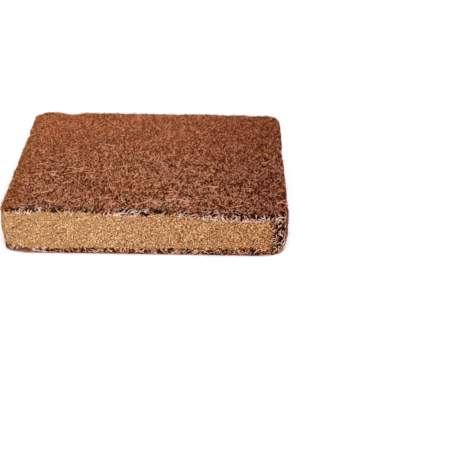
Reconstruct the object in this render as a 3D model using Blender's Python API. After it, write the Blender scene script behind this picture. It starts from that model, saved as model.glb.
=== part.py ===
"""A pressed bale of coconut coir: one slab of ground pith with a matted skin of fibre above and below.

The bale lies flat. The origin is at the centre of its underside, +X runs right along the front edge,
+Y to the back and +Z up. All sizes are in metres.
"""

import math

import bmesh
import bpy
from mathutils import Vector, noise

# The slab as it leaves the press
WIDTH = 0.300
DEPTH = 0.300
HEIGHT = 0.050
CORNER_RADIUS = 0.015
FRONT_LEFT_RADIUS = 0.0125
CORNER_STEPS = 4
SIDE_BULGE = 0.0010

# The fibre skins: their hems stand proud of the pressed side. The upper one hangs over the edge by the
# first measure at the left and the second at the right, and the lower one rises from the ground likewise
SKIN_LIP = 0.0018
UPPER_HEM = (0.0008, 0.0066)
UPPER_HEM_LEAST = 0.0005
LOWER_HEM = (0.0064, 0.0092)
UPPER_HEM_DROPS = (WIDTH / 12, 0.35 * WIDTH)
HEM_STEP = 0.0010

# The right end carries the skin over its whole height
END_SKIN_START = WIDTH / 2 - 1.4 * CORNER_RADIUS
END_SKIN_FULL = WIDTH / 2 - 0.8 * CORNER_RADIUS

# Edges: the upper one is softened, and the lower one is tucked in. The corners are rubbed away below, by the
# first measure at the left and the second at the right, fully under the first height and not over the second
UPPER_EDGE_FALL = 0.0009
UPPER_EDGE_TUCK = 0.0007
UPPER_EDGE_REACH = 0.0060
LOWER_TUCK = 0.0022
LOWER_EDGE_LIFT = 0.0009
LOWER_TUCK_REACH = 0.0060
CORNER_WEAR = (0.0052, 0.0040)
CORNER_WEAR_HEIGHTS = (0.004, 0.025)
CORNER_WEAR_LENGTH = 0.030

# The mat is pressed smooth at the back, and has come loose towards the front and the right: how far forward
# it starts to and is wholly loose, with patches. On the smooth mat, lumps and tufts keep only a share
LOOSENING = (-0.17, 0.10)
LOOSE_TO_RIGHT = 0.30
LOOSE_PATCHES = (0.085, 0.075, 41)
SMOOTH_SHARE = 0.35

# Relief: height of the unevenness, the distance over which it changes, and its seed. The highest lumps
# reach the driving sizes, so the mean surface lies lower than them by the headroom
FACE_HEADROOM = 0.00160
SIDE_HEADROOM = 0.0012
SWELL = (0.0011, 0.095, 3)
LUMPS = (0.0014, 0.025, 5)
TUFTS = (0.0014, 0.0125, 7)
SIDE_DENTS = (0.0006, 0.030, 31)
UPPER_HEM_WANDER = (0.0010, 0.024, 11)
LOWER_HEM_WANDER = (0.0016, 0.024, 23)
SEED_SHIFT = Vector((1.0, 2.7, 5.3))

# Places where a piece of the rim has crumbled away: centre, radius and depth of each scoop,
# which is taken out towards a core this share of the way from the middle
SCOOP_CORE = 0.85
SCOOPS = (
    (Vector((-0.062, -DEPTH / 2, HEIGHT)), 0.015, 0.0022),
    (Vector((0.088, -DEPTH / 2, HEIGHT)), 0.019, 0.0028),
    (Vector((WIDTH / 2, 0.036, HEIGHT)), 0.020, 0.0030),
    (Vector((WIDTH / 2 - 0.004, -DEPTH / 2 + 0.004, HEIGHT)), 0.018, 0.0026),
    (Vector((-WIDTH / 2, 0.070, HEIGHT)), 0.016, 0.0022),
    (Vector((-WIDTH / 2, -0.048, 0.0)), 0.017, 0.0028),
    (Vector((-0.104, DEPTH / 2, HEIGHT)), 0.019, 0.0026),
    (Vector((0.052, DEPTH / 2, 0.0)), 0.020, 0.0030),
    (Vector((WIDTH / 2, -0.080, 0.0)), 0.018, 0.0030),
    (Vector((-WIDTH / 2 + 0.004, DEPTH / 2 - 0.004, HEIGHT)), 0.016, 0.0024),
)

# Mesh spacing: the hems' courses start level, at these depths, and then follow the hems
CELL = 0.0065
UPPER_COURSE = 0.0035
LOWER_COURSE = 0.0080
RIM_INSETS = (0.0026, 0.0034)
UNDERSIDE_INSET = 0.0045
PITH_COURSES = 4
ON_PLANE = 1e-6

# A face is painted as skin where its corners carry at least this share of it
SKIN_ENOUGH = 0.6
SKIN_COLOUR = (0.245, 0.092, 0.042, 1.0)
PITH_COLOUR = (0.500, 0.265, 0.120, 1.0)
COIR_ROUGHNESS = 0.95


def clear_scene():
    for obj in list(bpy.data.objects):
        bpy.data.objects.remove(obj, do_unlink=True)


def ease(low, high, value):
    """0 at low, 1 at high, with a smooth start and end."""
    t = min(max((value - low) / (high - low), 0.0), 1.0)
    return t * t * (3 - 2 * t)


def blend(first, second, share):
    return first + (second - first) * share


def uneven(relief, place):
    """Smooth noise over the place, as (height, wavelength, seed) says."""
    height, wavelength, seed = relief
    return height * noise.noise(place / wavelength + seed * SEED_SHIFT)


def corner_radius(x, y):
    """Radius of the upright corner in this quarter of the bale."""
    return FRONT_LEFT_RADIUS if x < 0 and y < 0 else CORNER_RADIUS


def outline_at(x, y):
    """How far a point is inside the mould's outline, and which way the nearest side faces."""
    radius = corner_radius(x, y)
    over_x = abs(x) - (WIDTH / 2 - radius)
    over_y = abs(y) - (DEPTH / 2 - radius)
    if over_x > 0 and over_y > 0:
        away = Vector((math.copysign(over_x, x), math.copysign(over_y, y), 0))
        return radius - away.length, away.normalized()
    if over_x > over_y:
        return radius - over_x, Vector((math.copysign(1, x), 0, 0))
    return radius - over_y, Vector((0, math.copysign(1, y), 0))


def looseness(place):
    """0 where the mat is pressed smooth, at the back, and 1 where it has come loose, at the front right."""
    forward = LOOSE_TO_RIGHT * place.x - place.y + uneven(LOOSE_PATCHES, place)
    return ease(*LOOSENING, forward)


def mat_relief(place):
    """How far the matted skin stands out from its mean, by lumps and tufts."""
    return (uneven(LUMPS, place) + uneven(TUFTS, place)) * blend(SMOOTH_SHARE, 1, looseness(place))


def face_relief(place):
    """How far the upper face stands above its mean, with its swells."""
    return uneven(SWELL, place) + mat_relief(place)


def rim_height(x, y):
    """Height of the upper face's rim at this place of the outline."""
    return HEIGHT - FACE_HEADROOM - UPPER_EDGE_FALL + face_relief(Vector((x, y, HEIGHT)))


def upper_hem(x, y):
    """Height of the upper skin's hem: it hangs lower towards the right, and wanders."""
    hang = blend(*UPPER_HEM, ease(*UPPER_HEM_DROPS, x)) + uneven(UPPER_HEM_WANDER, Vector((x, y, 0)))
    return rim_height(x, y) - max(hang, UPPER_HEM_LEAST)


def lower_hem(x, y):
    """Height of the lower skin's hem: it rises towards the right, and wanders."""
    return blend(*LOWER_HEM, 0.5 + x / WIDTH) + uneven(LOWER_HEM_WANDER, Vector((x, y, 0)))


def skin_share(place):
    """1 where the side carries the matted skin, and 0 on the pressed pith."""
    above = ease(-HEM_STEP / 2, HEM_STEP / 2, place.z - upper_hem(place.x, place.y))
    below = ease(-HEM_STEP / 2, HEM_STEP / 2, lower_hem(place.x, place.y) - place.z)
    end = ease(END_SKIN_START, END_SKIN_FULL, place.x)
    return max(above, below, end)


def course_height(nominal, x, y):
    """Moves a course of the side up or down, so that two courses follow each hem, under the rim."""
    hems = (LOWER_COURSE, lower_hem(x, y)), (HEIGHT - UPPER_COURSE, upper_hem(x, y))
    marks = ((0, 0), *hems, (HEIGHT, rim_height(x, y)))
    for (low, new_low), (high, new_high) in zip(marks, marks[1:]):
        if nominal <= high:
            return blend(new_low, new_high, (nominal - low) / (high - low))
    return nominal


def corner_wear(place):
    """How far the lower corners are rubbed away."""
    from_corner = Vector((WIDTH / 2 - abs(place.x), DEPTH / 2 - abs(place.y))).length
    near = 1 - ease(CORNER_RADIUS / 2, CORNER_WEAR_LENGTH, from_corner)
    depth = blend(*CORNER_WEAR, 0.5 + place.x / WIDTH)
    return depth * near * (1 - ease(*CORNER_WEAR_HEIGHTS, place.z))


def side_point(nominal):
    """Where a point of the side ends up, and its skin: pith between two hems, each with its own relief."""
    _, outward = outline_at(nominal.x, nominal.y)
    place = Vector((nominal.x, nominal.y, course_height(nominal.z, nominal.x, nominal.y)))
    skin = skin_share(place)
    from_middle = 2 * place.z / HEIGHT - 1
    pith = -SKIN_LIP + SIDE_BULGE * (1 - from_middle**2) + uneven(SIDE_DENTS, place)
    out = blend(pith, mat_relief(place), skin) - SIDE_HEADROOM
    lower_tuck = LOWER_TUCK * (1 - ease(0, LOWER_TUCK_REACH, place.z)) + corner_wear(place)
    upper_tuck = UPPER_EDGE_TUCK * ease(HEIGHT - UPPER_COURSE, HEIGHT, nominal.z)
    return place + outward * (out - lower_tuck - upper_tuck), skin


def top_point(nominal):
    """Where a point of the upper face ends up: it has a softened edge, which meets the side."""
    inside, outward = outline_at(nominal.x, nominal.y)
    at_edge = max(1 - max(inside, 0) / UPPER_EDGE_REACH, 0) ** 2
    rise = face_relief(nominal) - FACE_HEADROOM - UPPER_EDGE_FALL * at_edge
    rim = Vector((nominal.x, nominal.y, rim_height(nominal.x, nominal.y)))
    out = (mat_relief(rim) - SIDE_HEADROOM - UPPER_EDGE_TUCK) * at_edge
    return nominal + Vector((0, 0, rise)) + outward * out


def underside_point(nominal):
    """The underside is flat, with a rim that is tucked in and lifted off the ground."""
    inside, outward = outline_at(nominal.x, nominal.y)
    at_rim = max(1 - max(inside, 0) / UNDERSIDE_INSET, 0)
    inward = (LOWER_TUCK + SIDE_HEADROOM) * at_rim + corner_wear(nominal)
    return nominal - outward * inward + Vector((0, 0, LOWER_EDGE_LIFT * at_rim))


def scooped(place):
    """The place after the crumbled scoops are taken out."""
    core = Vector((SCOOP_CORE * place.x, SCOOP_CORE * place.y, HEIGHT / 2))
    inwards = (core - place).normalized()
    for centre, radius, depth in SCOOPS:
        closeness = 1 - ease(0, radius, (place - centre).length)
        place = place + inwards * depth * closeness
    return place


def pressed_blank():
    """The mould's own shape: a box whose four upright edges are rounded."""
    bm = bmesh.new()
    bmesh.ops.create_cube(bm, size=1)
    bmesh.ops.scale(bm, vec=(WIDTH, DEPTH, HEIGHT), verts=bm.verts)
    bmesh.ops.translate(bm, vec=(0, 0, HEIGHT / 2), verts=bm.verts)
    upright = [e for e in bm.edges if abs(e.verts[0].co.z - e.verts[1].co.z) > HEIGHT / 2]
    for edge in upright:
        corner = edge.verts[0].co
        bmesh.ops.bevel(
            bm, geom=[edge], offset=corner_radius(corner.x, corner.y), segments=CORNER_STEPS,
            profile=0.5, affect="EDGES"
        )
    return bm


def face_at(bm, height):
    return [f for f in bm.faces if all(abs(v.co.z - height) < ON_PLANE for v in f.verts)]


def add_rim_rings(bm):
    """Rings round the upper and lower faces, which hold the softened edges."""
    for thickness in RIM_INSETS:
        widest = max(face_at(bm, HEIGHT), key=lambda f: f.calc_area())
        bmesh.ops.inset_region(bm, faces=[widest], thickness=thickness, use_even_offset=True)
    widest = max(face_at(bm, 0), key=lambda f: f.calc_area())
    bmesh.ops.inset_region(bm, faces=[widest], thickness=UNDERSIDE_INSET, use_even_offset=True)


def slice_at(bm, axis, position):
    """Cuts the mesh by the plane at this position on the axis, keeping both sides."""
    place, normal = Vector(), Vector()
    place[axis], normal[axis] = position, 1
    bmesh.ops.bisect_plane(
        bm, geom=bm.verts[:] + bm.edges[:] + bm.faces[:], dist=ON_PLANE, plane_co=place, plane_no=normal
    )


def add_courses(bm):
    """Courses round the side: two at each hem, one in the skins, and some across the pith."""
    pith_low, pith_high = LOWER_COURSE + HEM_STEP / 2, HEIGHT - UPPER_COURSE - HEM_STEP / 2
    heights = [LOWER_COURSE / 2, LOWER_COURSE - HEM_STEP / 2, HEIGHT - UPPER_COURSE + HEM_STEP / 2]
    for course in range(PITH_COURSES + 1):
        heights.append(blend(pith_low, pith_high, course / PITH_COURSES))
    for height in heights:
        slice_at(bm, 2, height)


def add_grid(bm):
    """Slices across the width and the depth, at even spacing between the rounded corners."""
    for axis, length in ((0, WIDTH), (1, DEPTH)):
        straight = length - 2 * CORNER_RADIUS
        cells = round(straight / CELL)
        for cut in range(cells + 1):
            slice_at(bm, axis, -straight / 2 + straight * cut / cells)


def shape(bm):
    """Turns the sliced blank into the bale, point by point, and notes where the skin is."""
    skin_layer = bm.verts.layers.float.new("skin")
    for vert in bm.verts:
        nominal = vert.co.copy()
        vert[skin_layer] = 1
        if nominal.z > HEIGHT - ON_PLANE:
            place = top_point(nominal)
        elif nominal.z < ON_PLANE:
            place = underside_point(nominal)
        else:
            place, vert[skin_layer] = side_point(nominal)
        vert.co = scooped(place)
        if nominal.z < ON_PLANE and outline_at(nominal.x, nominal.y)[0] > UNDERSIDE_INSET - ON_PLANE:
            vert.co.z = 0


def flatten_underside(bm):
    """The rest face: everything that lies on the ground is one flat face."""
    resting = [f for f in bm.faces if all(v.co.z == 0 for v in f.verts)]
    bmesh.ops.dissolve_faces(bm, faces=resting, use_verts=True)


def fit_to_size(bm):
    """Stretches the bale by a hair, so that its box is exactly the driving dimensions."""
    low = Vector(min(v.co[k] for v in bm.verts) for k in range(3))
    high = Vector(max(v.co[k] for v in bm.verts) for k in range(3))
    size = Vector((WIDTH, DEPTH, HEIGHT))
    for vert in bm.verts:
        for k in range(3):
            share = (vert.co[k] - low[k]) / (high[k] - low[k])
            vert.co[k] = size[k] * (share if k == 2 else share - 0.5)


def coir_material(name, colour):
    material = bpy.data.materials.new(name)
    material.use_nodes = True
    shader = material.node_tree.nodes["Principled BSDF"]
    shader.inputs["Base Color"].default_value = colour
    shader.inputs["Roughness"].default_value = COIR_ROUGHNESS
    shader.inputs["Metallic"].default_value = 0.0
    material.diffuse_color = colour
    return material


def paint(mesh):
    """The matted skin is red-brown and the pressed pith is tan."""
    mesh.materials.append(coir_material("matted_skin", SKIN_COLOUR))
    mesh.materials.append(coir_material("pressed_pith", PITH_COLOUR))
    skin = mesh.attributes["skin"].data
    for face in mesh.polygons:
        share = sum(skin[v].value for v in face.vertices) / len(face.vertices)
        face.material_index = 0 if share > SKIN_ENOUGH else 1


def make_bale():
    bm = pressed_blank()
    add_rim_rings(bm)
    add_courses(bm)
    add_grid(bm)
    shape(bm)
    flatten_underside(bm)
    fit_to_size(bm)
    bmesh.ops.recalc_face_normals(bm, faces=bm.faces)
    mesh = bpy.data.meshes.new("coir_bale")
    bm.to_mesh(mesh)
    bm.free()
    mesh.shade_smooth()
    paint(mesh)
    bale = bpy.data.objects.new("coir_bale", mesh)
    collection = bpy.data.collections.new("coconut coir bale")
    bpy.context.scene.collection.children.link(collection)
    collection.objects.link(bale)
    return bale


clear_scene()
make_bale()
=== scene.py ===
# %% [markdown]
# A pressed bale of coconut coir. The real thing is ground coconut husk, squeezed in a square mould: red-brown
# matted fibre on its broad faces, and bare tan pith where the sides were pressed against the mould's walls.
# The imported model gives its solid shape. This lesson dresses that solid: first a rough body, then thousands
# of fibres and crumbs that lie on it, then the light and the camera.

# %% The frame
import math

import bmesh
import bpy
from mathutils import Matrix, Vector, noise


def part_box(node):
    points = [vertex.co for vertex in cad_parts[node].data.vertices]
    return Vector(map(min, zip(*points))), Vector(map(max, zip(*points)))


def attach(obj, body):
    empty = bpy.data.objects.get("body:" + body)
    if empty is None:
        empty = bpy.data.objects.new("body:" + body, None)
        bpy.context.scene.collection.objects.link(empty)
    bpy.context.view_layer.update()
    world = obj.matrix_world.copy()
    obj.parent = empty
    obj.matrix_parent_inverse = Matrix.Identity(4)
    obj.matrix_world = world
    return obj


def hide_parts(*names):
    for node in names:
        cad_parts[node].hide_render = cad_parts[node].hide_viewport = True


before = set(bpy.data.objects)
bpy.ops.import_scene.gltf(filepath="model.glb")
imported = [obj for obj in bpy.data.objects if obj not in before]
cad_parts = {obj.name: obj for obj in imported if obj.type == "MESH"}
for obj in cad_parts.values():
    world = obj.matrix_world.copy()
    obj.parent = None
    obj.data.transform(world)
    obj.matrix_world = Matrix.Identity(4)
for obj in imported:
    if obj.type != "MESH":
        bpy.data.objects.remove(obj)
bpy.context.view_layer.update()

BALE = "coir_bale"
LOW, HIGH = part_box(BALE)
WIDTH, DEPTH, HEIGHT = HIGH - LOW
print(f"the bale is {1000 * WIDTH:.0f} x {1000 * DEPTH:.0f} x {1000 * HEIGHT:.0f} mm")

# %% [markdown]
# A render can only be compared with the photograph when both cameras stand in the same place. The place, the
# turn and the focal length below were worked out from the outline of the bale in the picture, as a square
# slab of this size. The camera looks down at 25 degrees, and is rolled a little, as one held by hand is.

# %% The camera
IMAGE_SIZE = 470
FOCAL_PIXELS = 1300
SENSOR = 36.0
CAMERA_PLACE = Vector((0.0796, -1.3606, 0.5985))
CAMERA_PITCH = math.radians(25.31)
CAMERA_YAW = math.radians(0.68)
CAMERA_ROLL = math.radians(1.18)


def aim_camera():
    camera = bpy.data.objects.new("camera", bpy.data.cameras.new("camera"))
    bpy.context.scene.collection.objects.link(camera)
    turn = (
        Matrix.Rotation(-CAMERA_YAW, 4, "Z")
        @ Matrix.Rotation(math.pi / 2 - CAMERA_PITCH, 4, "X")
        @ Matrix.Rotation(CAMERA_ROLL, 4, "Z")
    )
    camera.matrix_world = Matrix.Translation(CAMERA_PLACE) @ turn
    camera.data.sensor_width = SENSOR
    camera.data.lens = SENSOR * FOCAL_PIXELS / IMAGE_SIZE
    bpy.context.scene.camera = camera
    return camera


camera = aim_camera()
print(f"a lens of {camera.data.lens:.1f} mm")

# %% [markdown]
# Every tree of nodes below is wired by the same small helper. It makes one node, sets its options, and fills
# its inputs: a value that is itself a socket is linked, and any other value is typed in.

# %% A helper that wires nodes


def wire(tree, kind, inputs=None, **settings):
    node = tree.nodes.new(kind)
    for name, value in settings.items():
        setattr(node, name, value)
    for key, value in (inputs or {}).items():
        if isinstance(value, bpy.types.NodeSocket):
            tree.links.new(value, node.inputs[key])
        else:
            node.inputs[key].default_value = value
    return node


def combine(tree, operation, first, second=0.0, clamp=False):
    """One sum, product or the like, of sockets or numbers."""
    sums = wire(tree, "ShaderNodeMath", {0: first, 1: second}, operation=operation, use_clamp=clamp)
    return sums.outputs[0]


def combine_vectors(tree, operation, first, second):
    sums = wire(tree, "ShaderNodeVectorMath", {0: first}, operation=operation)
    key = "Scale" if operation == "SCALE" else 1
    if isinstance(second, bpy.types.NodeSocket):
        tree.links.new(second, sums.inputs[key])
    else:
        sums.inputs[key].default_value = second
    return sums.outputs[0]


# %% [markdown]
# The mat isn't the same all over. Towards the back of this bale it is pressed smooth, and towards the front
# and the right it has come loose, with standing fibre ends and dark hollows between. One rule of place says
# how far forward a place lies. The mesh, the fibres and the colours below follow it, as the solid's lumps do.

# %% How loose the mat is
SEED_SHIFT = Vector((1.0, 2.7, 5.3))
LOOSENING = (-0.17, 0.10)
LOOSE_TO_RIGHT = 0.30
LOOSE_PATCHES = (0.085, 0.075, 41)


def ease(low, high, value):
    """0 at low, 1 at high, with a smooth start and end."""
    t = min(max((value - low) / (high - low), 0.0), 1.0)
    return t * t * (3 - 2 * t)


def blend(first, second, share):
    return first + (second - first) * share


def uneven(relief, place):
    """Smooth noise over the place, as (height, wavelength, seed) says."""
    height, wavelength, seed = relief
    return height * noise.noise(place / wavelength + seed * SEED_SHIFT)


def forwardness(place):
    """How far to the front, and a little to the right, in metres, with uneven patches."""
    return LOOSE_TO_RIGHT * place.x - place.y + uneven(LOOSE_PATCHES, place)


def looseness(place):
    """0 where the mat is pressed smooth, at the back, and 1 where it has come loose, at the front right."""
    return ease(*LOOSENING, forwardness(place))


corners = {"back left": Vector((LOW.x, HIGH.y, HEIGHT)), "front right": Vector((HIGH.x, LOW.y, HEIGHT))}
for where, place in corners.items():
    print(f"looseness at the {where}: {looseness(place):.2f}")

# %% [markdown]
# The solid's skin of matted fibre ends at two ragged hems, one near the upper edge and one near the ground,
# and the right end is skinned all over. The rule below says how much skin a place carries. It uses the same
# hems as the solid, and makes them ragged at the size of single fibres, which a solid doesn't show.

# %% Where the skin is
CORNER_RADIUS = 0.015
HEADROOM = 0.0025
UPPER_HEM = (0.0008, 0.0066)
UPPER_HEM_LEAST = 0.0005
LOWER_HEM = (0.0064, 0.0092)
UPPER_HEM_DROPS = (WIDTH / 12, 0.35 * WIDTH)
SWELL, LUMPS, TUFTS = (0.0011, 0.095, 3), (0.0014, 0.025, 5), (0.0014, 0.0125, 7)
SMOOTH_SHARE = 0.35
UPPER_HEM_WANDER, LOWER_HEM_WANDER = (0.0010, 0.024, 11), (0.0016, 0.024, 23)
HEM_RAGS = (0.0022, 0.0036, 67)
HEM_BLUR = 0.0007
END_RAGGEDNESS = 2
END_SKIN_START = WIDTH / 2 - 1.4 * CORNER_RADIUS
END_SKIN_FULL = WIDTH / 2 - 0.8 * CORNER_RADIUS


def hem_heights(place):
    """How high the lower hem and the upper hem run past this place."""
    flat = Vector((place.x, place.y, 0))
    top = Vector((place.x, place.y, HEIGHT))
    lumps = (uneven(LUMPS, top) + uneven(TUFTS, top)) * blend(SMOOTH_SHARE, 1, looseness(top))
    rim = HEIGHT - HEADROOM + uneven(SWELL, top) + lumps
    hang = blend(*UPPER_HEM, ease(*UPPER_HEM_DROPS, place.x)) + uneven(UPPER_HEM_WANDER, flat)
    lower = blend(*LOWER_HEM, 0.5 + place.x / WIDTH) + uneven(LOWER_HEM_WANDER, flat)
    return lower, rim - max(hang, UPPER_HEM_LEAST)


def skin_share(place, hems, rags=0.0):
    """1 on the matted skin and 0 on the bare pith."""
    lower, upper = hems
    above = ease(-HEM_BLUR, HEM_BLUR, place.z - upper + rags)
    below = ease(-HEM_BLUR, HEM_BLUR, lower - place.z + rags)
    end = ease(END_SKIN_START, END_SKIN_FULL, place.x + END_RAGGEDNESS * rags)
    return max(above, below, end)


front = Vector((0, LOW.y, 0))
print(f"the hems on the front run at {[round(1000 * h, 1) for h in hem_heights(front)]} mm")

# %% [markdown]
# Everything that is strewn over the bale needs a surface to lie on, and so does the relief. That surface, the
# bed, is a copy of the solid, drawn in by less than a millimetre, so that the fibres on it reach about as far
# out as the solid does. A voxel remesh turns it into even small squares. The broad underside rests on the
# ground and needs none of them, so they are merged into one flat face, and the saved triangles go to the top
# and the sides.

# %% The bed's even mesh
BED_DEPTH = 0.0007
BED_VOXEL = 0.00127
WELD = 1e-6
FLAT_ENOUGH = 1e-5


def drawn_in():
    """A welded copy of the solid, drawn in a little and kept off the ground."""
    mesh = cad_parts[BALE].data.copy()
    mesh.materials.clear()
    bm = bmesh.new()
    bm.from_mesh(mesh)
    bmesh.ops.remove_doubles(bm, verts=bm.verts, dist=WELD)
    bmesh.ops.recalc_face_normals(bm, faces=bm.faces)
    bm.normal_update()
    inward = [(vert, vert.co - BED_DEPTH * vert.normal) for vert in bm.verts]
    for vert, place in inward:
        vert.co = (place.x, place.y, max(place.z, BED_DEPTH))
    bm.to_mesh(mesh)
    bm.free()
    return mesh


def flatten_underside(mesh):
    """Merges the squares that lie lowest into one flat face."""
    bm = bmesh.new()
    bm.from_mesh(mesh)
    lowest = min(vert.co.z for vert in bm.verts)
    for vert in bm.verts:
        if vert.co.z < lowest + BED_VOXEL / 4:
            vert.co.z = lowest
    flat = [f for f in bm.faces if all(abs(v.co.z - lowest) < FLAT_ENOUGH for v in f.verts)]
    bmesh.ops.dissolve_faces(bm, faces=flat, use_verts=True)
    bm.to_mesh(mesh)
    bm.free()


def make_bed():
    bed = bpy.data.objects.new("bed", drawn_in())
    bpy.context.scene.collection.objects.link(bed)
    remesh = bed.modifiers.new("even squares", "REMESH")
    remesh.mode = "VOXEL"
    remesh.voxel_size = BED_VOXEL
    mesh = bpy.data.meshes.new_from_object(bed.evaluated_get(bpy.context.evaluated_depsgraph_get()))
    bed.modifiers.clear()
    flatten_underside(mesh)
    bed.data = mesh
    return bed


bed = make_bed()
print(f"the bed has {len(bed.data.vertices)} points")

# %% [markdown]
# Each kind of fibre has its own region: a number on every point of the bed, from 0 to 1, that says how many
# of them belong there. The body's own numbers, which its relief and its colours follow, are noted in the same
# way. The mat frays towards the front, but stays calm along its left edge. A crevice, broken by noise, runs
# along the front rim and closes to the right: fibres are fewer there, and painted shade darkens it. A thin
# broken crease at the upper hem is painted black as shade. Three tufts of bleached ends stick out of the rim.

# %% The bed's regions
UPPER_FRINGE = (-0.0012, -0.0002, 0.0016, 0.0030)
FRINGE_TUFTS = (0.75, 0.016, 83)
FRINGE_TUFTED, FRINGE_SHARE = (-0.4, 0.4), 0.6
CREASE = (-0.0006, 0.0002, 0.0012, 0.0024)
CREASE_BREAKS = (1.6, 0.0070, 71)
CREASE_BROKEN = (-0.5, 0.3)
FRAYING = (-0.30, 0.20)
CREVICE = (-0.0010, 0.0004, 0.0082, 0.0130)
CREVICE_BREAKS = (1.0, 0.010, 59)
CREVICE_BROKEN = (-0.35, 0.2)
CREVICE_ABOVE_HEM = (0.0, 0.0020)
WHITE_TUFTS = ((-0.117, 0.019), (-0.012, 0.024), (0.092, 0.044))
TUFT_EDGE, TUFT_FRONT = (0.0, 0.5), (0.0, 0.1)
RIM_UP = (0.75, 0.95)
STEEP = (0.20, 0.55)
CALM_LEFT = (0.003, 0.030)
CALM_SHARE = 0.30
STRANDED = (0.35, 0.95)
CREVICE_BARE, CREVICE_FRINGE, LOW_HEM_BARE = 0.45, 0.35, 0.65
LOW_HEM_EDGE = (0, 0.0010)
TANGLED, TANGLE_CLOSES = (0.01, 0.08), 0.6
UP_OR_SIDE = (0.3, 0.8)
FACING_DOWN = (0.5, 0.9)


def between(marks, value):
    """0 outside four rising marks, and 1 between the two in the middle."""
    return ease(marks[0], marks[1], value) * (1 - ease(marks[2], marks[3], value))


def white_tufts(place):
    """1 where the tufts of bleached ends stick out of the front rim."""
    reach = max(1 - abs(place.x - middle) / half for middle, half in WHITE_TUFTS)
    return ease(*TUFT_EDGE, reach) * ease(*TUFT_FRONT, -place.y)


def regions_at(place, up):
    """The numbers of this place, on a surface that faces up by this much."""
    hems = hem_heights(place)
    over_hem = place.z - hems[1] + uneven(HEM_RAGS, place)
    skin = skin_share(place, hems)
    top, side = ease(*UP_OR_SIDE, up), 1 - ease(*UP_OR_SIDE, abs(up))
    calm = blend(CALM_SHARE, 1, ease(*CALM_LEFT, place.x - LOW.x))
    frayed = ease(*FRAYING, forwardness(place)) * calm
    matted_end = ease(END_SKIN_START, END_SKIN_FULL, place.x)
    low_hem = ease(*LOW_HEM_EDGE, hems[0] - place.z)
    rim = 1 - ease(*RIM_UP, up)
    open_rim = 1 - TANGLE_CLOSES * ease(*TANGLED, place.x)
    white = white_tufts(place)
    tufts = max(FRINGE_SHARE * ease(*FRINGE_TUFTED, uneven(FRINGE_TUFTS, place)), white)
    breaks = max(ease(*CREVICE_BROKEN, uneven(CREVICE_BREAKS, place)), white)
    crevice = between(CREVICE, place.y - LOW.y) * breaks * open_rim
    # Painted shade: a thin broken band at the upper hem, which the body's material paints black.
    crease = between(CREASE, over_hem) * ease(*CREASE_BROKEN, uneven(CREASE_BREAKS, place))
    matted = skin * top * (1 - CREVICE_BARE * crevice)
    return {
        "skin": skin_share(place, hems, uneven(HEM_RAGS, place)),
        "loose": frayed,
        "side": side,
        "crease": rim * crease * open_rim,
        "crevice": crevice * max(top, ease(*CREVICE_ABOVE_HEM, over_hem)),
        "top mat": matted,
        "loose mat": matted * frayed,
        "long strands": skin * top * ease(*STRANDED, frayed),
        "upper fringe": max(rim * between(UPPER_FRINGE, over_hem), CREVICE_FRINGE * top * crevice) * tufts,
        "lower fringe": side * low_hem,
        "side mat": skin * (1 - ease(*STEEP, abs(up))) * (1 - LOW_HEM_BARE * low_hem * (1 - matted_end)),
        "pith": side * (1 - skin),
        "under mat": ease(*FACING_DOWN, -up),
    }


def note(mesh, name, values):
    """Writes one number for each point of the mesh."""
    mesh.attributes.new(name, "FLOAT", "POINT").data.foreach_set("value", values)


regions = [regions_at(vert.co.copy(), vert.normal.z) for vert in bed.data.vertices]
for name in regions[0]:
    note(bed.data, name, [region[name] for region in regions])
    print(f"{name}: {sum(region[name] for region in regions) / len(regions):.3f} of the bed")

# %% [markdown]
# The body is what shows between the fibres: pressed dust and broken fibre. It is the bed with a relief on it.
# Relief is a rule of place alone, which is what Geometry Nodes are for. One tree moves each point of the body
# along its normal: by clumps a few millimetres wide, and by a finer grain. The skin is rougher than the pith,
# and rougher still where it is loose. The same height is kept as an attribute, in millimetres, because the
# material paints shade into the hollows and light onto the crests.

# %% The body's relief
CLUMPS = (0.0005, 0.0036)
GRAIN = (0.0012, 0.0026)
PITH_GRAIN = (0.0005, 0.0026)
RELIEF_DETAIL, RELIEF_ROUGHNESS = 2.0, 0.55
MILLIMETRES = 1000.0


def tree_with_inputs(name, inputs):
    """A Geometry Nodes tree whose sizes are named inputs, each (kind, default)."""
    tree = bpy.data.node_groups.new(name, "GeometryNodeTree")
    tree.interface.new_socket("Geometry", in_out="INPUT", socket_type="NodeSocketGeometry")
    for label, (kind, default) in inputs.items():
        socket = tree.interface.new_socket(label, in_out="INPUT", socket_type="NodeSocket" + kind)
        if default is not None:
            socket.default_value = default
    tree.interface.new_socket("Geometry", in_out="OUTPUT", socket_type="NodeSocketGeometry")
    return tree, tree.nodes.new("NodeGroupInput").outputs


def read(tree, name):
    """The number of this name on each point."""
    return wire(tree, "GeometryNodeInputNamedAttribute", {"Name": name}, data_type="FLOAT").outputs[0]


def bumps(tree, place, relief):
    """Noise about zero, whose height and wavelength are sockets or numbers."""
    height, wavelength = relief
    scale = combine(tree, "DIVIDE", 1.0, wavelength)
    texture = wire(tree, "ShaderNodeTexNoise", {
        "Vector": place, "Scale": scale, "Detail": RELIEF_DETAIL, "Roughness": RELIEF_ROUGHNESS})
    centred = combine(tree, "SUBTRACT", texture.outputs[0], 0.5)
    return combine(tree, "MULTIPLY", centred, combine(tree, "MULTIPLY", height, 2.0))


def off_the_ground(tree, place, least):
    """The place, at this height or higher."""
    parts = wire(tree, "ShaderNodeSeparateXYZ", {0: place}).outputs
    height = combine(tree, "MAXIMUM", parts[2], least)
    return wire(tree, "ShaderNodeCombineXYZ", {0: parts[0], 1: parts[1], 2: height}).outputs[0]


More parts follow.
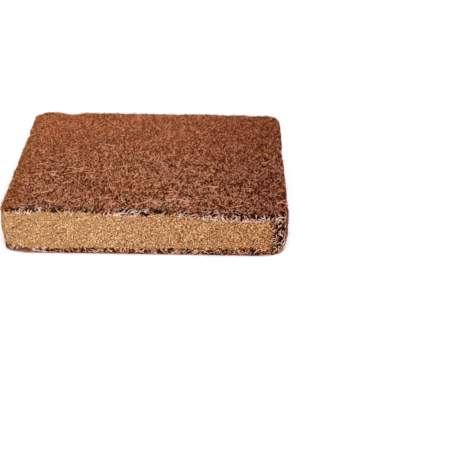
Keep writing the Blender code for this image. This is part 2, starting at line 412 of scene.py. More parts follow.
def hand_out(tree, given, geometry):
    """Ends a tree: any copies are made real, and the mesh gets its coat."""
    real = wire(tree, "GeometryNodeRealizeInstances", {0: geometry}).outputs[0]
    coat = {"Geometry": real, "Material": given["Coat"]}
    wire(tree, "NodeGroupOutput", {"Geometry": wire(tree, "GeometryNodeSetMaterial", coat).outputs[0]})


def relief_tree():
    tree, given = tree_with_inputs("coir relief", {
        "Clump height": ("Float", CLUMPS[0]), "Clump size": ("Float", CLUMPS[1]),
        "Grain height": ("Float", GRAIN[0]), "Grain size": ("Float", GRAIN[1]),
        "Pith height": ("Float", PITH_GRAIN[0]), "Pith size": ("Float", PITH_GRAIN[1]),
        "Smooth share": ("Float", SMOOTH_SHARE), "Coat": ("Material", None),
    })
    place = wire(tree, "GeometryNodeInputPosition").outputs[0]
    normal = wire(tree, "GeometryNodeInputNormal").outputs[0]
    skin = read(tree, "skin")
    clumps = bumps(tree, place, (given["Clump height"], given["Clump size"]))
    grain = bumps(tree, place, (given["Grain height"], given["Grain size"]))
    pith = bumps(tree, place, (given["Pith height"], given["Pith size"]))
    roughness = wire(tree, "ShaderNodeMapRange", {
        "Value": read(tree, "loose"), "To Min": given["Smooth share"], "To Max": 1.0}).outputs[0]
    mat = combine(tree, "MULTIPLY", combine(tree, "ADD", clumps, grain), roughness)
    height = wire(tree, "ShaderNodeMix", {0: skin, 2: pith, 3: mat}, data_type="FLOAT").outputs[0]
    kept = wire(tree, "GeometryNodeStoreNamedAttribute", {
        "Geometry": given["Geometry"], "Name": "relief",
        "Value": combine(tree, "MULTIPLY", height, MILLIMETRES),
    }, data_type="FLOAT", domain="POINT").outputs[0]
    moved = wire(tree, "GeometryNodeSetPosition", {
        "Geometry": kept, "Offset": combine_vectors(tree, "SCALE", normal, height),
    }).outputs[0]
    grounded = off_the_ground(tree, wire(tree, "GeometryNodeInputPosition").outputs[0], BED_DEPTH / 2)
    lifted = wire(tree, "GeometryNodeSetPosition", {"Geometry": moved, "Position": grounded}).outputs[0]
    hand_out(tree, given, lifted)
    return tree


relief = relief_tree()
print(f"the relief tree has {len(relief.nodes)} nodes")

# %% [markdown]
# Husk is never one colour. The skin goes from dark chocolate in its hollows to fox red and straw on its
# crests, and the ends that stick out are bleached. The pith is a paler, sandier version of the same. Noise
# picks the colour from a ramp, so the palette stays short, and every piece below takes its colours from it.

# %% Colours of husk
BLACK_HUSK = (0.020, 0.003, 0.001, 1.0)
DARK_HUSK = (0.075, 0.009, 0.002, 1.0)
RED_HUSK = (0.265, 0.050, 0.011, 1.0)
FOX_HUSK = (0.445, 0.123, 0.037, 1.0)
PALE_HUSK = (0.820, 0.322, 0.158, 1.0)
BLEACHED_HUSK = (0.970, 0.550, 0.350, 1.0)
WHITE_HUSK = (0.950, 0.790, 0.690, 1.0)
DARK_PITH = (0.100, 0.030, 0.006, 1.0)
RED_PITH = (0.320, 0.145, 0.050, 1.0)
TAN_PITH = (0.445, 0.236, 0.098, 1.0)
PALE_PITH = (0.880, 0.620, 0.370, 1.0)
SPECKLE_ROUGHNESS = 0.6
DULL_SPECULAR = 0.02


def ramp(tree, value, stops):
    """A colour ramp through (position, colour) stops."""
    node = wire(tree, "ShaderNodeValToRGB", {0: value})
    elements = node.color_ramp.elements
    while len(elements) < len(stops):
        elements.new(0.5)
    for element, (position, colour) in zip(elements, stops):
        element.position = position
        element.color = colour
    return node.outputs[0]


def mix_colours(tree, share, first, second, blend_type="MIX"):
    colours = {0: share, 6: first, 7: second}
    return wire(tree, "ShaderNodeMix", colours, data_type="RGBA", blend_type=blend_type).outputs[2]


def toned(tree, colour, tone):
    """The colour, multiplied by a tone."""
    return mix_colours(tree, 1.0, colour, tone, "MULTIPLY")


def speckle(tree, place, size, detail=3.0):
    """Noise from 0 to 1, about this many metres wide."""
    return wire(tree, "ShaderNodeTexNoise", {
        "Vector": place, "Scale": 1 / size, "Detail": detail, "Roughness": SPECKLE_ROUGHNESS,
    }).outputs[0]


def number(tree, name):
    """A number that the mesh carries."""
    return wire(tree, "ShaderNodeAttribute", attribute_name=name).outputs["Fac"]


def share_between(tree, value, low, high):
    """0 at low and 1 at high, as a socket."""
    return wire(tree, "ShaderNodeMapRange", {"Value": value, "From Min": low, "From Max": high}).outputs[0]


def across(tree, place):
    """How far to the right the place lies, in metres."""
    return wire(tree, "ShaderNodeSeparateXYZ", {0: place}).outputs[0]


def dry_shader(material, roughness, grain):
    """The shader of a dry and dull finish, whose roughness falls from the first number to the second."""
    tree = material.node_tree
    shader = tree.nodes["Principled BSDF"]
    shader.inputs["Specular IOR Level"].default_value = DULL_SPECULAR
    most, least = roughness
    rough = wire(tree, "ShaderNodeMapRange", {"Value": grain, "To Min": most, "To Max": least}).outputs[0]
    tree.links.new(rough, shader.inputs["Roughness"])
    return shader


print("the skin reflects", [f"{sum(c[:3]) / 3:.0%}" for c in (BLACK_HUSK, FOX_HUSK, WHITE_HUSK)])

# %% [markdown]
# Painted shade darkens the right of this bale, and an olive bloom lies in patches and along its left edge.
# Painted shade also makes the hollow along the front rim and the right end darkest. All of these are tones:
# they multiply the colours, so the body and the fibres on it can share them, and a colour is never mixed by
# hand twice.

# %% Tones that follow the place
# Painted shade: the three tones below darken the mat, the pith and the hem fibres towards the right.
MAT_SHADE_RIGHT = (0.61, 0.49, 0.50, 1.0)
PITH_SHADE_RIGHT = (0.76, 0.58, 0.46, 1.0)
HEM_SHADE_RIGHT = (0.83, 0.70, 0.68, 1.0)
# Painted shade on the skin of the sides, in the gaps between the side fibres.
SIDE_GAP_SHADE = (0.42, 0.28, 0.28, 1.0)
# Painted shade in the crevice along the front rim.
CREVICE_SHADE = (0.17, 0.10, 0.10, 1.0)
OLIVE_TONE = (0.62, 0.62, 0.42, 1.0)
# Painted shade: the two tones below darken the skin and the fibres of the right end.
END_SHADE_TONE = (0.32, 0.26, 0.32, 1.0)
END_FIBRE_SHADE = (0.32, 0.22, 0.22, 1.0)
NO_TONE = (1.0, 1.0, 1.0, 1.0)
MAT_DARKENS_FROM, PITH_DARKENS_FROM, COARSENS_FROM = 0.02, -0.05, -0.12
OLIVE_EDGE = (-WIDTH / 2 + 0.022, -WIDTH / 2 + 0.004)
OLIVE_PATCH_SIZE, OLIVE_PATCHES, OLIVE_SHARE = 0.040, (0.56, 0.70), 0.6
END_FLAT = (WIDTH / 2 - 0.0045, WIDTH / 2 - 0.0015)


def to_the_right(tree, place, start):
    """0 up to the start, and 1 at the right end."""
    return share_between(tree, across(tree, place), start, WIDTH / 2)


# Painted shade darkens the mat towards the right; the olive bloom is the mat's own colour.
def mat_shade_and_bloom(tree, place):
    tone = mix_colours(tree, to_the_right(tree, place, MAT_DARKENS_FROM), NO_TONE, MAT_SHADE_RIGHT)
    left_edge = share_between(tree, across(tree, place), *OLIVE_EDGE)
    patches = share_between(tree, speckle(tree, place, OLIVE_PATCH_SIZE, detail=2.0), *OLIVE_PATCHES)
    bloom = combine(tree, "MULTIPLY", combine(tree, "MAXIMUM", left_edge, patches), OLIVE_SHARE)
    return mix_colours(tree, bloom, tone, OLIVE_TONE)


def end_shade_tone(tree, place):
    """Painted shade makes the skin of the right end nearly black."""
    at_end = share_between(tree, across(tree, place), END_SKIN_START, END_SKIN_FULL)
    return mix_colours(tree, at_end, NO_TONE, END_SHADE_TONE)


def crevice_shade(tree):
    """Painted shade makes the mat darkest in the broken crevice along its front rim."""
    return mix_colours(tree, number(tree, "crevice"), NO_TONE, CREVICE_SHADE)


def top_shade_and_bloom(tree, place):
    return toned(tree, mat_shade_and_bloom(tree, place), crevice_shade(tree))


# Painted shade darkens the hem fibres towards the right.
def hem_shade_tone(tree, place):
    return mix_colours(tree, to_the_right(tree, place, MAT_DARKENS_FROM), NO_TONE, HEM_SHADE_RIGHT)


def on_the_end(tree, place):
    """1 on the flat of the right end, and 0 from its front corner on."""
    return share_between(tree, across(tree, place), *END_FLAT)


def end_fibre_shade_tone(tree, place):
    """As on the hems, but darkened by painted shade on the flat of the right end."""
    return mix_colours(tree, on_the_end(tree, place), hem_shade_tone(tree, place), END_FIBRE_SHADE)


def how_far_right(tree, place):
    return to_the_right(tree, place, COARSENS_FROM)


# Painted shade darkens the pith towards the right.
def pith_shade_tone(tree, place):
    return mix_colours(tree, to_the_right(tree, place, PITH_DARKENS_FROM), NO_TONE, PITH_SHADE_RIGHT)


print(f"the mat keeps {MAT_SHADE_RIGHT[0]:.0%} of its red at the right end")

# %% [markdown]
# The body's material mixes skin and pith by the skin number that the mesh carries. Where the skin is loose
# its ramp is darker, as painted shade, because more of what shows between the fibres is hollow. The relief
# adds painted shade in its pits and painted light on its crests, the crease at the upper hem is painted black
# as shade, and a fine bump adds what is too small for the mesh.

# %% The body's material
MAT_GRAIN_SIZE, PITH_GRAIN_SIZE, BUMP_GRAIN_SIZE = 0.0019, 0.0015, 0.0013
BUMP_STRENGTH, BUMP_HEIGHT = 0.9, 0.0012
BODY_ROUGHNESS = (1.0, 0.85)
SMOOTH_SKIN = ((0.40, DARK_HUSK), (0.45, RED_HUSK), (0.48, FOX_HUSK), (0.54, FOX_HUSK), (0.60, PALE_HUSK))
# Painted shade: the loose skin's ramp is darker, for the hollows between its fibres.
LOOSE_SKIN = ((0.47, BLACK_HUSK), (0.53, DARK_HUSK), (0.57, RED_HUSK), (0.62, FOX_HUSK), (0.70, PALE_HUSK))
CALM_SIDE = ((0.38, DARK_PITH), (0.43, RED_PITH), (0.48, TAN_PITH), (0.57, TAN_PITH), (0.66, PALE_PITH))
COARSE_SIDE = ((0.43, DARK_PITH), (0.47, RED_PITH), (0.50, TAN_PITH), (0.53, TAN_PITH), (0.58, PALE_PITH))
# Painted shade in the pits, and painted light, above 1, on the crests.
SHADE = ((0.12, (0.12, 0.06, 0.05, 1)), (0.45, (0.88, 0.84, 0.84, 1)), (0.75, (1.25, 1.25, 1.25, 1)))


def skin_colour(tree, place, grain):
    """The skin, with painted shade on the sides, on the right end, to the right and in the crevice."""
    smooth, loose = ramp(tree, grain, SMOOTH_SKIN), ramp(tree, grain, LOOSE_SKIN)
    skin = toned(tree, mix_colours(tree, number(tree, "loose"), smooth, loose), mat_shade_and_bloom(tree, place))
    # Painted shade: the skin on the sides, which shows in the gaps between the side fibres, is darkened.
    skin = mix_colours(tree, number(tree, "side"), skin, toned(tree, skin, SIDE_GAP_SHADE))
    skin = mix_colours(tree, number(tree, "side"), skin, toned(tree, skin, end_shade_tone(tree, place)))
    return toned(tree, skin, crevice_shade(tree))


def pith_colour(tree, place):
    grain = speckle(tree, place, PITH_GRAIN_SIZE, detail=2.0)
    calm, coarse = ramp(tree, grain, CALM_SIDE), ramp(tree, grain, COARSE_SIDE)
    return toned(tree, mix_colours(tree, how_far_right(tree, place), calm, coarse), pith_shade_tone(tree, place))


def relief_shade(tree):
    """Painted shade in pits, painted light on crests: half a millimetre up or down spans half the ramp."""
    halved = combine(tree, "MULTIPLY", number(tree, "relief"), 0.5)
    return ramp(tree, combine(tree, "ADD", halved, 0.5), SHADE)


def body_material():
    material = bpy.data.materials.new("pressed coir")
    material.use_nodes = True
    tree = material.node_tree
    place = wire(tree, "ShaderNodeTexCoord").outputs["Object"]
    grain = speckle(tree, place, MAT_GRAIN_SIZE, detail=2.0)
    shader = dry_shader(material, BODY_ROUGHNESS, grain)
    skin, pith = skin_colour(tree, place, grain), pith_colour(tree, place)
    colour = toned(tree, mix_colours(tree, number(tree, "skin"), pith, skin), relief_shade(tree))
    # Painted shade: the crease at the upper hem, under the skin's lip, is painted black.
    colour = mix_colours(tree, number(tree, "crease"), colour, BLACK_HUSK)
    tree.links.new(colour, shader.inputs["Base Color"])
    height = combine(tree, "ADD", speckle(tree, place, BUMP_GRAIN_SIZE), grain)
    bump = wire(tree, "ShaderNodeBump", {
        "Height": height, "Strength": BUMP_STRENGTH, "Distance": BUMP_HEIGHT}).outputs[0]
    tree.links.new(bump, shader.inputs["Normal"])
    return material


body_coat = body_material()
print(f"the body's material has {len(body_coat.node_tree.nodes)} nodes")

# %% [markdown]
# Here the relief and the material come together. A modifier runs the tree on the bed, and its result is kept
# as a plain mesh, because the model is handed on as meshes. Each piece below is grown by the same helper.

# %% The body


def grown(source, name, tree, values):
    """Runs a tree with these inputs on the source's mesh, and returns a plain mesh object."""
    piece = bpy.data.objects.new(name, source.data)
    bpy.context.scene.collection.objects.link(piece)
    modifier = piece.modifiers.new("nodes", "NODES")
    modifier.node_group = tree
    sockets = {s.name: s.identifier for s in tree.interface.items_tree if s.in_out == "INPUT"}
    for label, value in values.items():
        modifier[sockets[label]] = value
    evaluated = piece.evaluated_get(bpy.context.evaluated_depsgraph_get())
    mesh = bpy.data.meshes.new_from_object(evaluated)
    mesh.name = name
    piece.modifiers.clear()
    piece.data = mesh
    return piece


def triangles(piece):
    return sum(len(face.vertices) - 2 for face in piece.data.polygons)


body = grown(bed, "coir_bale_body", relief, {"Coat": body_coat})
body.data.shade_smooth()
print(f"the body has {triangles(body)} triangles")

# %% [markdown]
# One tree grows every kind of fibre. It strews points over the bed, lays a straight line on each, turned any
# way in the surface, bends the lines by noise, and presses them back on the bed. One end of a fibre stays
# rooted there, and the other stands up a little. Each line then becomes a thread of three sides, thick at its
# root and thin at its tip. Hair curves would be quicker to grow, but a plain mesh can be used anywhere.

# %% A tree that grows fibres
SEED_STEP = 101.0
TIP_CURVE = 1.4
FULL_TURN = 2 * math.pi
BEND_OF_ITS_OWN = 97.0
ROOT, TIP, THICKEST_AT, THINNER_FROM = 0.9, 0.25, 0.25, (0.7, 0.85)
FIBRE_INPUTS = {
    "Count": ("Float", 1.0), "Where": ("String", "top mat"),
    "Seed": ("Int", 0), "Shortest": ("Float", 0.004), "Longest": ("Float", 0.012),
    "Thinnest": ("Float", 0.0001), "Thickest": ("Float", 0.0003), "Bend": ("Float", 0.003),
    "Bend size": ("Float", 0.008), "Lift": ("Float", 0.0006), "Tip lift": ("Float", 0.0008),
    "Points": ("Int", 5), "Coat": ("Material", None),
}


def random_between(tree, low, high, seed):
    numbers = {2: low, 3: high, "Seed": seed}
    return wire(tree, "FunctionNodeRandomValue", numbers, data_type="FLOAT").outputs[1]


def other_seed(tree, given, steps):
    """A seed for one more choice, which then doesn't follow from the first."""
    return combine(tree, "ADD", given["Seed"], steps * SEED_STEP)


def stored(tree, geometry, name, value):
    return wire(tree, "GeometryNodeStoreNamedAttribute", {
        "Geometry": geometry, "Name": name, "Value": value}, data_type="FLOAT", domain="POINT").outputs[0]


def strewn_points(tree, given):
    """Points on the bed, each with the numbers that its fibre will need."""
    density = combine(tree, "MULTIPLY", given["Count"], read(tree, given["Where"]))
    spread = wire(tree, "GeometryNodeDistributePointsOnFaces", {
        "Mesh": given["Geometry"], "Density": density, "Seed": given["Seed"]})
    tint = random_between(tree, 0.0, 1.0, given["Seed"])
    chance = random_between(tree, 0.0, 1.0, other_seed(tree, given, 1))
    points = stored(tree, stored(tree, spread.outputs["Points"], "tint", tint), "chance", chance)
    return points, spread.outputs["Normal"]


def laid_lines(tree, given, points, normal):
    """A straight line on each point, lying in the surface, of random length and heading."""
    ends = {"Start": (-0.5, 0, 0), "End": (0.5, 0, 0)}
    line = wire(tree, "GeometryNodeCurvePrimitiveLine", ends).outputs[0]
    line = wire(tree, "GeometryNodeResampleCurve", {"Curve": line, "Count": given["Points"]}).outputs[0]
    upright = wire(tree, "FunctionNodeAlignRotationToVector", {"Vector": normal}, axis="Z").outputs[0]
    heading = random_between(tree, 0.0, FULL_TURN, other_seed(tree, given, 2))
    spin = wire(tree, "FunctionNodeAxisAngleToRotation", {"Axis": (0, 0, 1), "Angle": heading}).outputs[0]
    turns = {0: upright, 1: spin}
    turned = wire(tree, "FunctionNodeRotateRotation", turns, rotation_space="LOCAL").outputs[0]
    length = random_between(tree, given["Shortest"], given["Longest"], other_seed(tree, given, 3))
    size = wire(tree, "ShaderNodeCombineXYZ", {0: length, 1: 1.0, 2: 1.0}).outputs[0]
    lines = wire(tree, "GeometryNodeInstanceOnPoints", {
        "Points": points, "Instance": line, "Rotation": turned, "Scale": size}).outputs[0]
    return wire(tree, "GeometryNodeRealizeInstances", {0: lines}).outputs[0]


def bent_lines(tree, given, lines):
    """Every line is bent by noise of its own."""
    place = wire(tree, "GeometryNodeInputPosition").outputs[0]
    own = combine(tree, "MULTIPLY", read(tree, "tint"), BEND_OF_ITS_OWN)
    texture = wire(tree, "ShaderNodeTexNoise", {
        "Vector": place, "W": own, "Scale": combine(tree, "DIVIDE", 1.0, given["Bend size"]), "Detail": 1.0,
    }, noise_dimensions="4D").outputs[1]
    centred = combine_vectors(tree, "SUBTRACT", texture, (0.5, 0.5, 0.5))
    reach = combine(tree, "MULTIPLY", given["Bend"], 2.0)
    return wire(tree, "GeometryNodeSetPosition", {
        "Geometry": lines, "Offset": combine_vectors(tree, "SCALE", centred, reach)}).outputs[0]


def pressed_lines(tree, given, lines):
    """Each point is put on the bed, and lifted: a little everywhere, and more towards the free end."""
    place = wire(tree, "GeometryNodeInputPosition").outputs[0]
    nearest = {0: given["Geometry"], 2: place}
    on_bed = wire(tree, "GeometryNodeProximity", nearest, target_element="FACES").outputs[0]
    normal = wire(tree, "GeometryNodeSampleNearestSurface", {
        0: given["Geometry"], 1: wire(tree, "GeometryNodeInputNormal").outputs[0], 3: place,
    }, data_type="FLOAT_VECTOR").outputs[0]
    along = wire(tree, "GeometryNodeSplineParameter").outputs[0]
    tips = combine(tree, "MULTIPLY", combine(tree, "POWER", along, TIP_CURVE), given["Tip lift"])
    tips = combine(tree, "MULTIPLY", tips, read(tree, "chance"))
    height = combine(tree, "ADD", tips, combine(tree, "MULTIPLY", given["Lift"], read(tree, "tint")))
    raised = combine_vectors(tree, "ADD", on_bed, combine_vectors(tree, "SCALE", normal, height))
    settled = off_the_ground(tree, raised, given["Thickest"])
    return wire(tree, "GeometryNodeSetPosition", {"Geometry": lines, "Position": settled}).outputs[0]


def threads(tree, given, lines):
    """Threads of three sides, thickest near the root."""
    along = wire(tree, "GeometryNodeSplineParameter").outputs[0]
    width = wire(tree, "ShaderNodeMapRange", {
        "Value": read(tree, "tint"), "To Min": given["Thinnest"], "To Max": given["Thickest"]}).outputs[0]
    taper = wire(tree, "ShaderNodeFloatCurve", {"Value": along})
    points = taper.mapping.curves[0].points
    points[0].location, points[1].location = (0.0, ROOT), (1.0, TIP)
    points.new(THICKEST_AT, 1.0)
    points.new(*THINNER_FROM)
    taper.mapping.update()
    radius = combine(tree, "MULTIPLY", width, taper.outputs[0])
    ring = wire(tree, "GeometryNodeCurvePrimitiveCircle", {"Resolution": 3, "Radius": 1.0}).outputs[0]
    return wire(tree, "GeometryNodeCurveToMesh", {
        "Curve": lines, "Profile Curve": ring, "Scale": radius, "Fill Caps": True}).outputs[0]


def fibre_tree():
    tree, given = tree_with_inputs("coir fibres", FIBRE_INPUTS)
    points, normal = strewn_points(tree, given)
    lines = laid_lines(tree, given, points, normal)
    lines = pressed_lines(tree, given, bent_lines(tree, given, lines))
    hand_out(tree, given, threads(tree, given, lines))
    return tree


fibres = fibre_tree()
print(f"the fibre tree has {len(fibres.nodes)} nodes")

# %% [markdown]
# The pressed side is not fibrous but mealy: grains of pith, from fine meal up to a millimetre. A second tree
# strews such crumbs, turned at random and half sunk in the bed. Each is a flattened grain of eight faces,
# because there are thousands, and rounder ones wouldn't look different at this size.

# %% A tree that strews crumbs
CRUMB_INPUTS = {
    "Count": ("Float", 1.0), "Where": ("String", "pith"), "Seed": ("Int", 0), "Smallest": ("Float", 0.0006),
    "Largest": ("Float", 0.0014), "Coat": ("Material", None),
}
CRUMB_SHAPE = (1.3, 0.9, 0.6)


def crumb_tree():
    tree, given = tree_with_inputs("coir crumbs", CRUMB_INPUTS)
    points, _ = strewn_points(tree, given)
    grain = wire(tree, "GeometryNodeMeshUVSphere", {"Segments": 4, "Rings": 2, "Radius": 0.5}).outputs[0]
    turns = {0: (0, 0, 0), 1: (FULL_TURN,) * 3, "Seed": given["Seed"]}
    turn = wire(tree, "FunctionNodeRandomValue", turns, data_type="FLOAT_VECTOR").outputs[0]
    size = random_between(tree, given["Smallest"], given["Largest"], other_seed(tree, given, 4))
    hand_out(tree, given, wire(tree, "GeometryNodeInstanceOnPoints", {
        "Points": points, "Instance": grain, "Rotation": turn,
        "Scale": combine_vectors(tree, "SCALE", CRUMB_SHAPE, size)}).outputs[0])
    return tree


crumbs = crumb_tree()
print(f"the crumb tree has {len(crumbs.nodes)} nodes")

# %% [markdown]
# A fibre takes its colour from its own number, which also sets how thick it is. The thin ones are dark, as
# they lie in each other's shade, and the thickest are bleached almost to straw. Each coat has two ramps, one
# for the calm places and one for the loose or coarse ones, and fades between them. Along its length a fibre
# stays nearly the same, with a little mottling.

# %% The fibres' and crumbs' materials
MOTTLE_SIZE, MOTTLE_SHARE = 0.003, 0.25
FIBRE_ROUGHNESS = (0.95, 0.70)


def how_loose(tree, _place):
    return number(tree, "loose")


def strewn_material(name, calm_stops, wild_stops, wildness_at, tone_at):
    """A coat coloured by each fibre's own number, from two ramps, and toned by the place."""
    material = bpy.data.materials.new(name)
    material.use_nodes = True
    tree = material.node_tree
    place = wire(tree, "ShaderNodeTexCoord").outputs["Object"]
    centred = combine(tree, "SUBTRACT", speckle(tree, place, MOTTLE_SIZE), 0.5)
    mottle = combine(tree, "MULTIPLY", centred, MOTTLE_SHARE)
    own = combine(tree, "ADD", number(tree, "tint"), mottle, clamp=True)
    shader = dry_shader(material, FIBRE_ROUGHNESS, own)
    calm, wild = ramp(tree, own, calm_stops), ramp(tree, own, wild_stops)
    colour = toned(tree, mix_colours(tree, wildness_at(tree, place), calm, wild), tone_at(tree, place))
    tree.links.new(colour, shader.inputs["Base Color"])
    return material


SMOOTH_MAT = ((0.0, BLACK_HUSK), (0.30, DARK_HUSK), (0.41, RED_HUSK), (0.50, FOX_HUSK), (0.68, FOX_HUSK),
              (0.82, PALE_HUSK))
LOOSE_MAT = ((0.0, BLACK_HUSK), (0.62, DARK_HUSK), (0.74, RED_HUSK), (0.84, FOX_HUSK), (0.94, PALE_HUSK))
LOOSE_ENDS = ((0.0, BLACK_HUSK), (0.50, DARK_HUSK), (0.60, RED_HUSK), (0.69, PALE_HUSK), (0.83, PALE_HUSK),
              (0.94, BLEACHED_HUSK))
STRAND_STOPS = ((0.0, FOX_HUSK), (0.5, PALE_HUSK), (1.0, BLEACHED_HUSK))
FRINGE_STOPS = ((0.0, BLACK_HUSK), (0.34, DARK_HUSK), (0.44, PALE_HUSK), (0.58, BLEACHED_HUSK),
                (0.76, WHITE_HUSK))
BAND_STOPS = ((0.0, BLACK_HUSK), (0.42, DARK_HUSK), (0.52, RED_HUSK), (0.62, FOX_HUSK), (0.72, PALE_HUSK),
              (0.88, BLEACHED_HUSK))
END_STOPS = ((0.0, BLACK_HUSK), (0.61, DARK_HUSK), (0.71, RED_HUSK), (0.78, BLEACHED_HUSK),
             (0.91, WHITE_HUSK))
FLAT_END_STOPS = ((0.0, BLACK_HUSK), (0.22, DARK_HUSK), (0.45, RED_HUSK), (0.75, FOX_HUSK),
                  (0.92, PALE_HUSK))
CALM_PITH = ((0.14, DARK_PITH), (0.26, RED_PITH), (0.38, TAN_PITH), (0.78, TAN_PITH), (0.92, PALE_PITH))
WILD_PITH = ((0.30, DARK_PITH), (0.42, RED_PITH), (0.50, TAN_PITH), (0.64, TAN_PITH), (0.76, PALE_PITH))
mat_coat = strewn_material("husk fibre", SMOOTH_MAT, LOOSE_MAT, how_loose, top_shade_and_bloom)
loose_coat = strewn_material("loose fibre", SMOOTH_MAT, LOOSE_ENDS, how_loose, top_shade_and_bloom)
strand_coat = strewn_material("long fibre", STRAND_STOPS, STRAND_STOPS, how_loose, hem_shade_tone)
fringe_coat = strewn_material("bleached fibre", FRINGE_STOPS, FRINGE_STOPS, how_loose, hem_shade_tone)
band_coat = strewn_material("fibre near the ground", BAND_STOPS, BAND_STOPS, how_loose, end_fibre_shade_tone)
end_coat = strewn_material("dark fibre", END_STOPS, FLAT_END_STOPS, on_the_end, end_fibre_shade_tone)
pith_coat = strewn_material("pith meal", CALM_PITH, WILD_PITH, how_far_right, pith_shade_tone)
print(f"{len(bpy.data.materials)} materials so far")

# %% [markdown]
# The mat on the top is two layers: an even one of short fibres, and over it the loose ones, light and dark,
# that grow denser to the front, where a few long strands lie in arcs. Pale ends stick out at the hems, and
# the right end is all fibre. On the bare sides lie flecks and crumbs of pith. A count is per square metre,
# where the region's number is 1, and lengths and radii are in metres.

# %% The fibres
FIBRE_LAYERS = {
    "top_mat": {"Count": 285000.0, "Where": "top mat", "Seed": 1,
                "Shortest": 0.0011, "Longest": 0.0028, "Thinnest": 0.00020, "Thickest": 0.00046,
                "Bend": 0.0008, "Bend size": 0.004, "Lift": 0.0006, "Tip lift": 0.0022,
                "Points": 2, "Coat": mat_coat},
    "loose_fibres": {"Count": 380000.0, "Where": "loose mat", "Seed": 2,
                     "Shortest": 0.0013, "Longest": 0.0036, "Thinnest": 0.00020, "Thickest": 0.00048,
                     "Bend": 0.0008, "Bend size": 0.004, "Lift": 0.0014, "Tip lift": 0.0030,
                     "Points": 2, "Coat": loose_coat},
    "long_strands": {"Count": 5200.0, "Where": "long strands", "Seed": 3,
                     "Shortest": 0.006, "Longest": 0.019, "Thinnest": 0.00022, "Thickest": 0.00042,
                     "Bend": 0.0050, "Bend size": 0.014, "Lift": 0.0021, "Tip lift": 0.0010,
                     "Points": 9, "Coat": strand_coat},
    "upper_fringe": {"Count": 700000.0, "Where": "upper fringe", "Seed": 4,
                     "Shortest": 0.0024, "Longest": 0.0074, "Thinnest": 0.00016, "Thickest": 0.00032,
                     "Bend": 0.0018, "Bend size": 0.006, "Lift": 0.0012, "Tip lift": 0.0018,
                     "Points": 4, "Coat": fringe_coat},
    "lower_fringe": {"Count": 640000.0, "Where": "lower fringe", "Seed": 9,
                     "Shortest": 0.0012, "Longest": 0.0036, "Thinnest": 0.00018, "Thickest": 0.00046,
                     "Bend": 0.0008, "Bend size": 0.005, "Lift": 0.0008, "Tip lift": 0.0012,
                     "Points": 2, "Coat": band_coat},
    "side_mat": {"Count": 420000.0, "Where": "side mat", "Seed": 5,
                 "Shortest": 0.0018, "Longest": 0.0052, "Thinnest": 0.00018, "Thickest": 0.00040,
                 "Bend": 0.0020, "Bend size": 0.004, "Lift": 0.0009, "Tip lift": 0.0012,
                 "Points": 3, "Coat": end_coat},
    "pith_flecks": {"Count": 110000.0, "Where": "pith", "Seed": 6,
                    "Shortest": 0.0012, "Longest": 0.0034, "Thinnest": 0.00018, "Thickest": 0.00036,
                    "Bend": 0.0010, "Bend size": 0.004, "Lift": 0.0004, "Tip lift": 0.0004,
                    "Points": 3, "Coat": pith_coat},
    "under_mat": {"Count": 18000.0, "Where": "under mat", "Seed": 7,
                  "Shortest": 0.005, "Longest": 0.014, "Thinnest": 0.00018, "Thickest": 0.00034,
                  "Bend": 0.0035, "Bend size": 0.008, "Lift": 0.0004, "Tip lift": 0.0002,
                  "Points": 4, "Coat": mat_coat},
}
CRUMB_LAYERS = {
    "pith_crumbs": {"Count": 640000.0, "Where": "pith", "Seed": 8, "Smallest": 0.0005, "Largest": 0.0012,
                    "Coat": pith_coat},
}
strewn = [grown(bed, name, fibres, values) for name, values in FIBRE_LAYERS.items()]
strewn += [grown(bed, name, crumbs, values) for name, values in CRUMB_LAYERS.items()]
for piece in strewn:
    print(f"{piece.name}: {triangles(piece)} triangles")
print(f"all together: {triangles(body) + sum(triangles(piece) for piece in strewn)} triangles")

# %% [markdown]
# The bale lies on a plain pale floor, so wide that its far edge doesn't show. The key lamp shines like the
# sun through thin cloud, from the front and above: its light is even, so the floor stays white to the edge of
# the picture, and its wide disc keeps the shadows soft. A weak lamp fills from the right, and a pale world
# lights the rest.

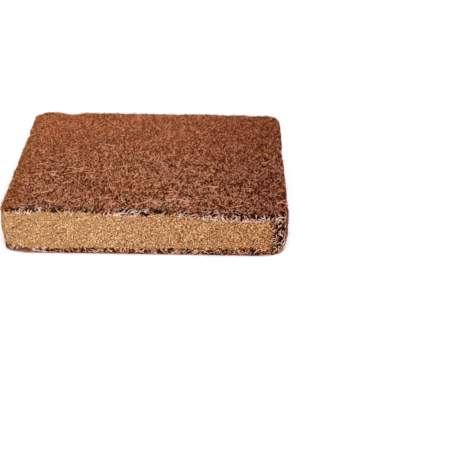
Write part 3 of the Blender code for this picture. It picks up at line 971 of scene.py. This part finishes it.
# %% The floor and the light
FLOOR_SIZE = 60.0
FLOOR_COLOUR, FLOOR_ROUGHNESS = (0.95, 0.95, 0.95, 1.0), 0.9
WORLD_COLOUR, WORLD_STRENGTH = (1.0, 1.0, 1.0, 1.0), 0.45
KEY_PLACE, KEY_STRENGTH, KEY_DISC = (0.05, -1.55, 1.5), 3.1, math.radians(18)
FILL_PLACE, FILL_WATTS, FILL_SIZE = (0.9, -1.1, 0.7), 4.0, 0.9


def make_floor():
    bm = bmesh.new()
    bmesh.ops.create_grid(bm, x_segments=1, y_segments=1, size=FLOOR_SIZE / 2)
    mesh = bpy.data.meshes.new("floor")
    bm.to_mesh(mesh)
    bm.free()
    floor = bpy.data.objects.new("floor", mesh)
    bpy.context.scene.collection.objects.link(floor)
    material = bpy.data.materials.new("pale floor")
    material.use_nodes = True
    shader = material.node_tree.nodes["Principled BSDF"]
    shader.inputs["Base Color"].default_value = FLOOR_COLOUR
    shader.inputs["Roughness"].default_value = FLOOR_ROUGHNESS
    mesh.materials.append(material)
    return floor


def add_lamp(name, kind, place, power):
    """A lamp of this kind that shines from the place on the bale."""
    lamp = bpy.data.objects.new(name, bpy.data.lights.new(name, kind))
    bpy.context.scene.collection.objects.link(lamp)
    lamp.location = place
    lamp.rotation_euler = (-Vector(place)).to_track_quat("-Z", "Y").to_euler()
    lamp.data.energy = power
    return lamp


def light_scene():
    world = bpy.data.worlds.new("studio")
    bpy.context.scene.world = world
    world.use_nodes = True
    world.node_tree.nodes["Background"].inputs["Color"].default_value = WORLD_COLOUR
    world.node_tree.nodes["Background"].inputs["Strength"].default_value = WORLD_STRENGTH
    key = add_lamp("key", "SUN", KEY_PLACE, KEY_STRENGTH)
    key.data.angle = KEY_DISC
    fill = add_lamp("fill", "AREA", FILL_PLACE, FILL_WATTS)
    fill.data.size = FILL_SIZE
    bpy.context.scene.view_settings.view_transform = "Standard"


floor = make_floor()
light_scene()

# %% [markdown]
# Last, every piece is told which body it moves with, and the plain solid gives way to the dressed body.

# %% Each piece joins its body
bpy.data.objects.remove(bed)
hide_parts(BALE)
for piece in [body, *strewn]:
    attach(piece, "root")
